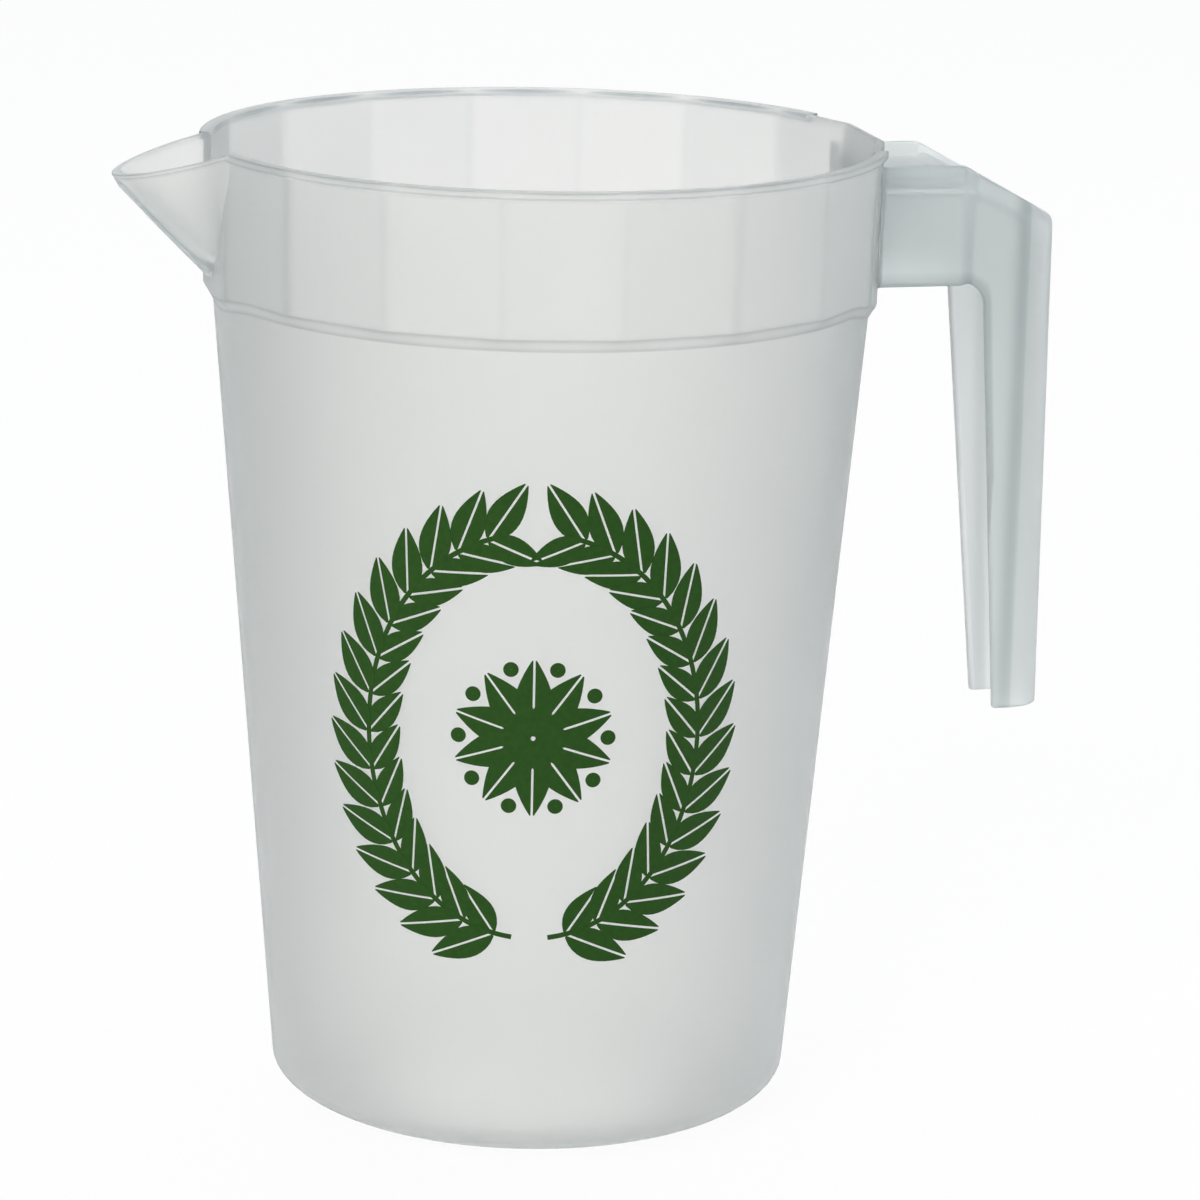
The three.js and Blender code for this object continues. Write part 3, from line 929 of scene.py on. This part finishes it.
# %% Draw the wreath
branch_right, branch_up, branch_breadth = 33.5, 41, 1.0
branch_from, branch_to = -84, 78
first_leaf, last_leaf, leaf_pairs = -78, 74, 15
outer_leaf = {"turn": -38, "length": 13.5, "breadth": 6}
inner_leaf = {"turn": 42, "length": 11.5, "breadth": 5.2}
petals, petal_length, petal_breadth = 10, 16, 7
dot_ring, dot_radius = 14.5, 1.5

film = bmesh.new()
for hand in (-1, 1):
    course = np.radians(np.linspace(branch_from, branch_to, 90))
    ribbon(film, hand * branch_right * np.cos(course), branch_up * np.sin(course), branch_breadth)
    for place in np.radians(np.linspace(first_leaf, last_leaf, leaf_pairs)):
        x, y = hand * branch_right * math.cos(place), branch_up * math.sin(place)
        run = math.atan2(branch_up * math.cos(place), -hand * branch_right * math.sin(place))
        for kind in (outer_leaf, inner_leaf):
            turn = math.degrees(run) + hand * kind["turn"]
            leaf(film, x, y, turn, kind["length"], kind["breadth"])
petal_pitch = 360 / petals
for i in range(petals):
    leaf(film, 0, 0, petal_pitch * (i + 0.5), petal_length, petal_breadth)
    turn = math.radians(petal_pitch * i)
    dot(film, dot_ring * math.cos(turn), dot_ring * math.sin(turn), dot_radius)
bmesh.ops.remove_doubles(film, verts=film.verts, dist=weld * MM)
data = bpy.data.meshes.new("leaf_print")
film.to_mesh(data)
film.free()
leaf_print = bpy.data.objects.new("leaf_print", data)
scene.collection.objects.link(leaf_print)
thicken = leaf_print.modifiers.new("ink film", "SOLIDIFY")
thicken.thickness = film_thickness * MM
thicken.offset = 1
print("print patches:", len(data.polygons))

# %% [markdown]
# ## Materials
# All materials are node trees, built with one function that adds a node, sets it and links it.
# Colours are written as sRGB hex, as a colour picker shows them, and patterns by their real size
# in millimetres.

# %% Node helpers


def colour(code):
    """Linear RGBA for a colour written as sRGB hex."""
    parts = [int(code[i:i + 2], 16) / 255 for i in (1, 3, 5)]
    linear = [p / 12.92 if p <= 0.04045 else ((p + 0.055) / 1.055) ** 2.4 for p in parts]
    return (*linear, 1)


def pattern_scale(size):
    """Scale of a pattern whose features have a size in millimetres."""
    return 1 / (size * MM)


def add(tree, kind, inputs=None, **settings):
    """Adds a node; inputs are values or the output sockets to link."""
    node = tree.nodes.new(kind)
    for name, value in settings.items():
        setattr(node, name, value)
    for name, value in (inputs or {}).items():
        if isinstance(value, bpy.types.NodeSocket):
            tree.links.new(value, node.inputs[name])
        else:
            node.inputs[name].default_value = value
    return node


def new_material(name):
    """An empty material and its node tree."""
    material = bpy.data.materials.new(name)
    material.use_nodes = True
    material.node_tree.nodes.clear()
    return material, material.node_tree


print("white as linear:", colour("#ffffff"))

# %% [markdown]
# ## Moulded polypropylene
# The pitcher is polypropylene without pigment, injection moulded in a finely etched mould. To the
# eye it is milky and half clear, with a satin gloss: it passes light, blurs what lies behind, and
# goes cool and darker where light runs far inside it. Subsurface scattering would look waxy and
# hide the far wall, and plain glass would be too clear. So a Principled shader with transmission
# and roughness gives the gloss and the blur, and Volume Absorption gives the cool depths.

# %% Moulded polypropylene
# Flow lines of the melt, about 4 mm apart and as long as a hand.
streak_width, streak_length = 4, 143
# The etched grain is near 0.1 mm, too fine to show, so it is drawn coarser.
grain_width, grain_height = 1.67, 0.03
polypropylene_ior = 1.49
satin_low, satin_high = 0.4, 0.46
# The first colour is the cool grey of the painted shade lines; the second colours the absorption.
painted_edge_shade, depth_tint = "#98a3a5", "#b0c8cd"


def moulded_plastic(name, low_tint, high_tint, clear, density):
    """Milky half clear plastic with faint streaks; the mesh's shade paints light and shade on its
    edges.
    """
    material, tree = new_material(name)
    place = add(tree, "ShaderNodeTexCoord").outputs["Object"]
    stretch = [pattern_scale(size) for size in (streak_width, streak_width, streak_length)]
    stretched = add(tree, "ShaderNodeMapping", {"Vector": place, "Scale": stretch})
    streaks = add(tree, "ShaderNodeTexNoise", {
        "Vector": stretched.outputs["Vector"], "Scale": 1.0, "Detail": 3.0,
    }).outputs["Fac"]
    tint = add(tree, "ShaderNodeMix", {
        "Factor": streaks, "A": colour(low_tint), "B": colour(high_tint),
    }, data_type="RGBA").outputs["Result"]
    shade = add(tree, "ShaderNodeAttribute", attribute_name="shade").outputs["Fac"]
    # Painted light and shade: the mesh's shade mixes in white below 0 and the cool grey above 0.
    for full_shade, painted_colour in ((-1.0, "#ffffff"), (1.0, painted_edge_shade)):
        amount = add(tree, "ShaderNodeMapRange", {"Value": shade, "From Max": full_shade})
        tint = add(tree, "ShaderNodeMix", {
            "Factor": amount.outputs["Result"], "A": tint, "B": colour(painted_colour),
        }, data_type="RGBA").outputs["Result"]
    grain = add(tree, "ShaderNodeTexNoise", {
        "Vector": place, "Scale": pattern_scale(grain_width), "Detail": 4.0,
    }).outputs["Fac"]
    satin = add(tree, "ShaderNodeMapRange", {
        "Value": grain, "To Min": satin_low, "To Max": satin_high,
    }).outputs["Result"]
    frost = add(tree, "ShaderNodeBump", {
        "Height": grain, "Strength": 0.15, "Distance": grain_height * MM,
    }).outputs["Normal"]
    skin = add(tree, "ShaderNodeBsdfPrincipled", {
        "Base Color": tint, "Roughness": satin, "Normal": frost,
        "IOR": polypropylene_ior, "Transmission Weight": clear,
    })
    depths = add(tree, "ShaderNodeVolumeAbsorption", {
        "Color": colour(depth_tint), "Density": density,
    })
    add(tree, "ShaderNodeOutputMaterial", {
        "Surface": skin.outputs["BSDF"], "Volume": depths.outputs["Volume"],
    })
    return material


# The thin wall is the clearer one. The handle's copy of the same plastic is greyer and cooler in
# colour and less clear: painted shade for its darker look.
wall_plastic = moulded_plastic("moulded polypropylene", "#fdfcfa", "#fffefd", 0.9, 36.0)
shaded_handle_plastic = moulded_plastic(
    "moulded polypropylene, handle", "#eef2f2", "#f4f7f7", 0.78, 8.0)
print("nodes in the plastic:", len(wall_plastic.node_tree.nodes))

# %% [markdown]
# ## Green ink
# The print is a dark green solvent ink, pressed through a mesh and dried flat. To the eye it is
# even and nearly matt, a little lighter in a fine mottle where the mesh left less of it.
# One flat colour would look like paper, so a noise drives colour and gloss together.

# %% Green ink
# The mesh is near 0.1 mm, too fine to show, so its mottle is drawn coarser.
mottle_width = 1.11
ink, tree = new_material("green screen ink")
place = add(tree, "ShaderNodeTexCoord").outputs["Object"]
mottle = add(tree, "ShaderNodeTexNoise", {
    "Vector": place, "Scale": pattern_scale(mottle_width), "Detail": 4.0,
}).outputs["Fac"]
green = add(tree, "ShaderNodeMix", {
    "Factor": mottle, "A": colour("#1d400d"), "B": colour("#2b5318"),
}, data_type="RGBA").outputs["Result"]
dry = add(tree, "ShaderNodeMapRange", {
    "Value": mottle, "To Min": 0.4, "To Max": 0.55,
}).outputs["Result"]
ink_skin = add(tree, "ShaderNodeBsdfPrincipled", {
    "Base Color": green, "Roughness": dry, "Specular IOR Level": 0.15,
})
add(tree, "ShaderNodeOutputMaterial", {"Surface": ink_skin.outputs["BSDF"]})

finishes = {pitcher_wall: wall_plastic, pitcher_handle: shaded_handle_plastic, leaf_print: ink}
for piece, material in finishes.items():
    piece.data.materials.append(material)
    print(piece.name, "is", material.name)

# %% [markdown]
# ## Studio floor
# The picture is a product shot on pure white. More light would burn out the pale plastic, so the
# floor is white paper that glows at strength 1 for rays from the camera and through the plastic,
# and keeps a little of its matt side there, for the soft shadow. To the sides, where only the
# plastic sees it, the paper is grey: that gives clear plastic its darker edges.

# %% Studio floor
floor_radius = 30000
white_share = 0.94
cloud_width = 1500
sheet_edge, sheet_end = 400, 1200
sideways = (math.cos(object_turn), -math.sin(object_turn), 0)

floor_mesh = bmesh.new()
bmesh.ops.create_circle(floor_mesh, cap_ends=True, segments=96, radius=floor_radius * MM)
floor_data = bpy.data.meshes.new("studio_floor")
floor_mesh.to_mesh(floor_data)
floor_mesh.free()
floor = bpy.data.objects.new("studio_floor", floor_data)
scene.collection.objects.link(floor)

paper, tree = new_material("white paper floor")
path = add(tree, "ShaderNodeLightPath").outputs
where = add(tree, "ShaderNodeTexCoord").outputs["Object"]
seen = path["Is Camera Ray"]
for ray in ("Is Glossy Ray", "Is Transmission Ray"):
    seen = add(tree, "ShaderNodeMath", {0: seen, 1: path[ray]}, operation="MAXIMUM").outputs[0]
keep = add(tree, "ShaderNodeMath", {0: seen, 1: white_share}, operation="MULTIPLY").outputs[0]
clouds = add(tree, "ShaderNodeTexNoise", {
    "Vector": where, "Scale": pattern_scale(cloud_width), "Detail": 3.0,
}).outputs["Fac"]
white = add(tree, "ShaderNodeMix", {
    "Factor": clouds, "A": colour("#f4f4f3"), "B": colour("#f8f8f7"),
}, data_type="RGBA").outputs["Result"]
matt = add(tree, "ShaderNodeBsdfDiffuse", {"Color": white}).outputs["BSDF"]
aside = add(tree, "ShaderNodeVectorMath", {0: where, 1: sideways}, operation="DOT_PRODUCT")
aside = add(tree, "ShaderNodeMath", {0: aside.outputs["Value"]}, operation="ABSOLUTE").outputs[0]
on_sheet = add(tree, "ShaderNodeMapRange", {
    "Value": aside, "From Min": sheet_edge * MM, "From Max": sheet_end * MM,
    "To Min": 1.0, "To Max": 0.0,
}).outputs["Result"]
white_here = add(tree, "ShaderNodeMath", {
    0: on_sheet, 1: path["Is Camera Ray"],
}, operation="MAXIMUM").outputs[0]
sheet = add(tree, "ShaderNodeMix", {
    "Factor": white_here, "A": colour("#5c6668"), "B": colour("#ffffff"),
}, data_type="RGBA").outputs["Result"]
glow = add(tree, "ShaderNodeEmission", {"Color": sheet, "Strength": 1.0}).outputs["Emission"]
mixed = add(tree, "ShaderNodeMixShader", {0: keep, 1: matt, 2: glow})
add(tree, "ShaderNodeOutputMaterial", {"Surface": mixed.outputs["Shader"]})
floor.data.materials.append(paper)
print("floor across in m:", 2 * floor_radius * MM)

# %% [markdown]
# ## Light tent
# Clear things are photographed in a tent: a bright card stands behind them, and greyer cloth at
# the sides draws their edges. A plain white world would lose the pitcher, so the world is white
# behind it and a cool grey elsewhere. The camera sees white all over.

# %% Light tent
card_edge, card_full = 0.44, 0.8
rear = (math.sin(object_turn), math.cos(object_turn), 0)
world = bpy.data.worlds.new("light tent")
world.use_nodes = True
tree = world.node_tree
tree.nodes.clear()
path = add(tree, "ShaderNodeLightPath").outputs
heading = add(tree, "ShaderNodeTexCoord").outputs["Generated"]
rearward = add(tree, "ShaderNodeVectorMath", {0: heading, 1: rear}, operation="DOT_PRODUCT")
on_card = add(tree, "ShaderNodeMapRange", {
    "Value": rearward.outputs["Value"], "From Min": card_edge, "From Max": card_full,
}).outputs["Result"]
white_there = add(tree, "ShaderNodeMath", {
    0: on_card, 1: path["Is Camera Ray"],
}, operation="MAXIMUM").outputs[0]
tent = add(tree, "ShaderNodeMix", {
    "Factor": white_there, "A": colour("#84969d"), "B": colour("#ffffff"),
}, data_type="RGBA").outputs["Result"]
sky = add(tree, "ShaderNodeBackground", {"Color": tent, "Strength": 1.0})
add(tree, "ShaderNodeOutputWorld", {"Surface": sky.outputs["Background"]})
scene.world = world
print("the card reaches to", round(math.degrees(math.acos(card_edge))), "degrees from the back")

# %% [markdown]
# ## Lamps
# Three large soft lamps give the satin gloss: a slightly warm key from the left front, one above,
# and a small one on the right for the handle's back. Small lamps would leave hard glints.

# %% Lamps
lamp_aim = Vector((0, 0, 0.1))


def soft_lamp(name, place, size, watts, tint="#ffffff"):
    """A large square lamp that faces the middle of the pitcher; place and size are in metres."""
    data = bpy.data.lights.new(name, "AREA")
    data.shape = "SQUARE"
    data.size = size
    data.energy = watts
    data.color = colour(tint)[:3]
    lamp = bpy.data.objects.new(name, data)
    lamp.location = place
    lamp.rotation_euler = (lamp_aim - lamp.location).to_track_quat("-Z", "Y").to_euler()
    scene.collection.objects.link(lamp)
    print(name, "lamp:", watts, "W")


soft_lamp("key", (-1.4, -1.8, 1.4), 1.2, 38, "#fffaf4")
soft_lamp("top", (0.2, 0.4, 2.4), 1.8, 20)
soft_lamp("right", (1.5, 0.1, 0.4), 0.7, 6)

# %% [markdown]
# ## Hand over
# Each piece rides on the part's root and stands in for the CAD parts it covers.

# %% Hand over
covered = {
    pitcher_wall: ("base_floor", "body_wall", "stacking_step", "faceted_collar",
                   "rim_bead_front", "rim_bead_back", "pouring_spout"),
    pitcher_handle: ("handle_bridge", "handle_grip"),
    leaf_print: ("body_wall",),
}
for piece, nodes in covered.items():
    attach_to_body(piece, "root")
    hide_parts(*nodes)
